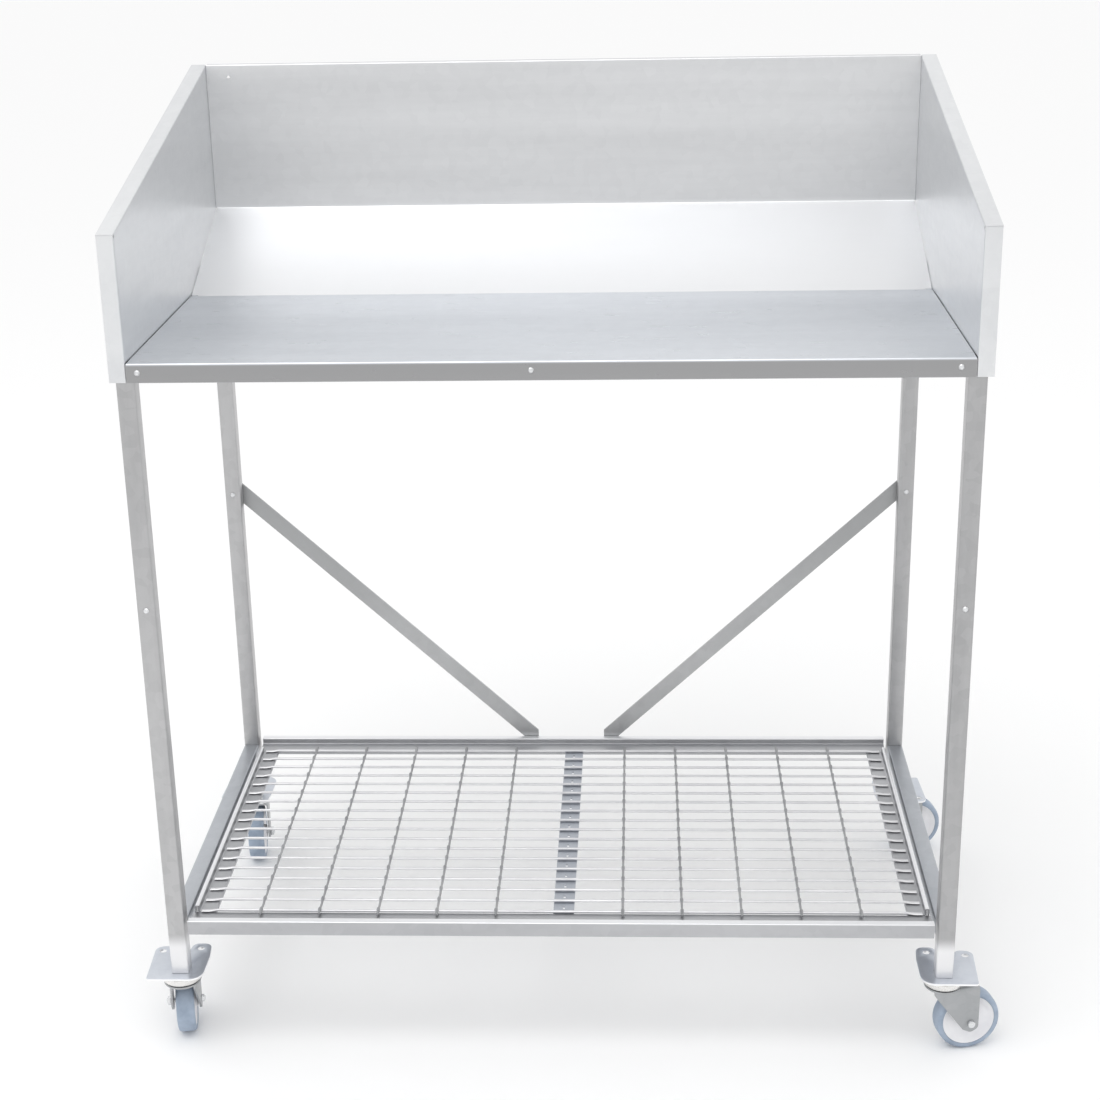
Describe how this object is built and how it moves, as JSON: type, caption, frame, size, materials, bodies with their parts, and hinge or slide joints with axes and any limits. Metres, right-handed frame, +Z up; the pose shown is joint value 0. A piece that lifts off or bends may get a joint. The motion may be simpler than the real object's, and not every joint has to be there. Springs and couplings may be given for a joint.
{
  "type": "potting bench",
  "caption": "Mobile potting bench: a three-sided sheet-metal tray with a sloping back on square legs, a wire storage shelf below and swivelling castors.",
  "frame": {"origin": "centre of the bounding box in plan, on the floor under the wheels", "axes": "+Z up, +X to the right of a person standing at the tray's open front, +Y away from them toward the tall back"},
  "size_m": [0.9898, 0.5352, 1.076],
  "materials": {
    "galvanised_sheet": "satin galvanised sheet",
    "galvanised_tube": "satin galvanised tube and folded section",
    "galvanised_wire": "galvanised wire",
    "bright_zinc": "bright zinc plating",
    "fork_zinc": "dull zinc plating",
    "hub_plastic": "satin white plastic",
    "tyre_rubber": "matt blue-grey tread"
  },
  "bodies": {
    "bench": {"back_panel": "galvanised_sheet", "front_left_castor_pin": "fork_zinc", "front_left_castor_plate": "bright_zinc", "front_left_leg": "galvanised_tube", "front_left_leg_rivet": "bright_zinc", "front_right_castor_pin": "fork_zinc", "front_right_castor_plate": "bright_zinc", "front_right_leg": "galvanised_tube", "front_right_leg_rivet": "bright_zinc", "lower_left_rail": "galvanised_tube", "lower_right_rail": "galvanised_tube", "rear_left_brace": "galvanised_tube", "rear_left_brace_foot_rivet": "bright_zinc", "rear_left_brace_top_rivet": "bright_zinc", "rear_left_castor_pin": "fork_zinc", "rear_left_castor_plate": "bright_zinc", "rear_left_leg": "galvanised_tube", "rear_right_brace": "galvanised_tube", "rear_right_brace_foot_rivet": "bright_zinc", "rear_right_brace_top_rivet": "bright_zinc", "rear_right_castor_pin": "fork_zinc", "rear_right_castor_plate": "bright_zinc", "rear_right_leg": "galvanised_tube", "shelf_front_rail": "galvanised_tube", "shelf_left_rail": "galvanised_tube", "shelf_middle_bar": "galvanised_tube", "shelf_rear_rail": "galvanised_tube", "shelf_right_rail": "galvanised_tube", "shelf_wire_mesh": "galvanised_wire", "side_wall_left": "galvanised_sheet", "side_wall_right": "galvanised_sheet", "tray_floor": "galvanised_sheet", "tray_frame_front_rail": "galvanised_tube", "tray_frame_left_rail": "galvanised_tube", "tray_frame_rear_rail": "galvanised_tube", "tray_frame_right_rail": "galvanised_tube", "tray_lip_rivet_1": "bright_zinc", "tray_lip_rivet_2": "bright_zinc", "tray_lip_rivet_3": "bright_zinc"},
    "front_left_swivel": {"front_left_castor_fork": "fork_zinc", "front_left_castor_axle": "bright_zinc", "front_left_castor_nut": "bright_zinc"},
    "front_left_wheel": {"front_left_castor_hub": "hub_plastic", "front_left_castor_tyre": "tyre_rubber"},
    "front_right_swivel": {"front_right_castor_fork": "fork_zinc", "front_right_castor_axle": "bright_zinc", "front_right_castor_nut": "bright_zinc"},
    "front_right_wheel": {"front_right_castor_hub": "hub_plastic", "front_right_castor_tyre": "tyre_rubber"},
    "rear_left_swivel": {"rear_left_castor_fork": "fork_zinc", "rear_left_castor_axle": "bright_zinc", "rear_left_castor_nut": "bright_zinc"},
    "rear_left_wheel": {"rear_left_castor_hub": "hub_plastic", "rear_left_castor_tyre": "tyre_rubber"},
    "rear_right_swivel": {"rear_right_castor_fork": "fork_zinc", "rear_right_castor_axle": "bright_zinc", "rear_right_castor_nut": "bright_zinc"},
    "rear_right_wheel": {"rear_right_castor_hub": "hub_plastic", "rear_right_castor_tyre": "tyre_rubber"}
  },
  "joints": [
    {"name": "front_left_castor_swivel", "type": "hinge", "parent": "bench", "child": "front_left_swivel", "pos_m": [-0.45447, -0.24357, 0.0845], "axis": [0, 0, 1], "continuous": true},
    {"name": "front_left_wheel_roll", "type": "hinge", "parent": "front_left_swivel", "child": "front_left_wheel", "pos_m": [-0.45968, -0.21403, 0.0375], "axis": [-0.9848, -0.1736, 0], "continuous": true},
    {"name": "front_right_castor_swivel", "type": "hinge", "parent": "bench", "child": "front_right_swivel", "pos_m": [0.42753, -0.24357, 0.0845], "axis": [0, 0, 1], "continuous": true},
    {"name": "front_right_wheel_roll", "type": "hinge", "parent": "front_right_swivel", "child": "front_right_wheel", "pos_m": [0.45687, -0.23733, 0.0375], "axis": [-0.2079, 0.9781, 0], "continuous": true},
    {"name": "rear_left_castor_swivel", "type": "hinge", "parent": "bench", "child": "rear_left_swivel", "pos_m": [-0.45447, 0.23843, 0.0845], "axis": [0, 0, 1], "continuous": true},
    {"name": "rear_left_wheel_roll", "type": "hinge", "parent": "rear_left_swivel", "child": "rear_left_wheel", "pos_m": [-0.45081, 0.20865, 0.0375], "axis": [0.9925, 0.1219, 0], "continuous": true},
    {"name": "rear_right_castor_swivel", "type": "hinge", "parent": "bench", "child": "rear_right_swivel", "pos_m": [0.42753, 0.23843, 0.0845], "axis": [0, 0, 1], "continuous": true},
    {"name": "rear_right_wheel_roll", "type": "hinge", "parent": "rear_right_swivel", "child": "rear_right_wheel", "pos_m": [0.45708, 0.24364, 0.0375], "axis": [-0.1736, 0.9848, 0], "continuous": true}
  ]
}
